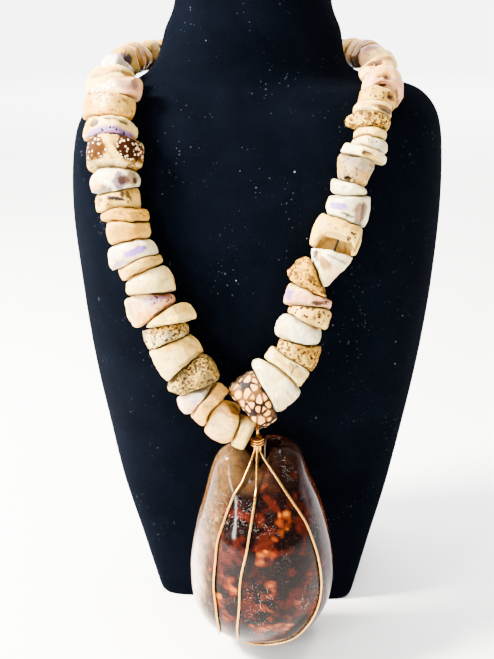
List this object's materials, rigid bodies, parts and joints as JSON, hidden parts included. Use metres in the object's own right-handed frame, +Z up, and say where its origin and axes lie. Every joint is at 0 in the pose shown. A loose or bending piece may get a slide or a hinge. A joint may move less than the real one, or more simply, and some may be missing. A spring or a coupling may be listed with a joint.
{
  "type": "cowrie shell necklace on a neck bust",
  "caption": "Chunky beach-worn shell and coral beads on a black cord, with a large glossy brown cowrie caged in gold wire, shown on a black velvet neck bust.",
  "frame": {"origin": "centre of the flat foot of the bust, on the table", "axes": "+X to the right of someone who looks at the front, -Y forward out of the front, +Z up"},
  "size_m": [0.1793, 0.1616, 0.335],
  "materials": {
    "velvet_black": "deep black velvet with a faint sheen at its edges",
    "shell_cream": "beach-worn shell, satin, cream",
    "shell_white": "beach-worn shell, softly glossy, white",
    "shell_lilac": "beach-worn shell, satin, pale lilac and pink",
    "shell_peach": "beach-worn shell, satin, peach to orange",
    "shell_tan": "beach-worn shell, satin, tan to ochre",
    "shell_speckled": "shell with an orange-brown ground, pale specks and an ochre ridge",
    "shell_patterned": "cone shell, pinkish cream with dark red-brown triangles",
    "coral_tan": "pitted, granular coral, tan",
    "coral_grey": "pitted, granular coral, grey-olive",
    "cord_black": "thin waxed cord, black",
    "wire_gold": "bright gold-coloured craft wire",
    "cowrie_brown": "high natural gloss, dark brown mottled with amber, paler at its edges"
  },
  "bodies": {
    "stand": {"bust": "velvet_black", "bead_l04": "shell_cream", "bead_l05": "shell_lilac", "bead_l06": "shell_tan", "bead_l07": "shell_cream", "bead_l08": "shell_speckled", "bead_l09": "shell_white", "bead_l10": "shell_cream", "bead_l11": "shell_tan", "bead_l12": "shell_tan", "bead_l13": "shell_lilac", "bead_l14": "shell_peach", "bead_l15": "shell_white", "bead_l16": "shell_lilac", "bead_l17": "shell_cream", "bead_l18": "coral_grey", "bead_l19": "shell_cream", "bead_l20": "coral_grey", "bead_l21": "shell_lilac", "bead_l22": "shell_peach", "bead_l23": "shell_peach", "bead_l24": "shell_cream", "bead_centre": "shell_patterned", "bead_r01": "shell_white", "bead_r02": "shell_cream", "bead_r03": "coral_tan", "bead_r04": "shell_white", "bead_r05": "coral_tan", "bead_r06": "shell_lilac", "bead_r07": "coral_tan", "bead_r08": "shell_white", "bead_r09": "shell_cream", "bead_r10": "shell_white", "bead_r11": "shell_white", "bead_r12": "coral_grey", "bead_r13": "shell_white", "bead_r14": "shell_white", "bead_r15": "shell_tan", "bead_r16": "coral_tan", "bead_r17": "shell_cream", "bead_r18": "shell_tan", "neck_beads": "shell_cream", "thread": "cord_black", "clasp": "wire_gold"},
    "pendant": {"cowrie_shell": "cowrie_brown", "wire_left": "wire_gold", "wire_middle": "wire_gold", "wire_right": "wire_gold", "bail": "wire_gold"}
  },
  "joints": [
    {"name": "pendant_swing", "type": "hinge", "parent": "stand", "child": "pendant", "pos_m": [0.00351, -0.07795, 0.118], "axis": [-1, 0, 0], "range_deg": [-4, 40]}
  ]
}
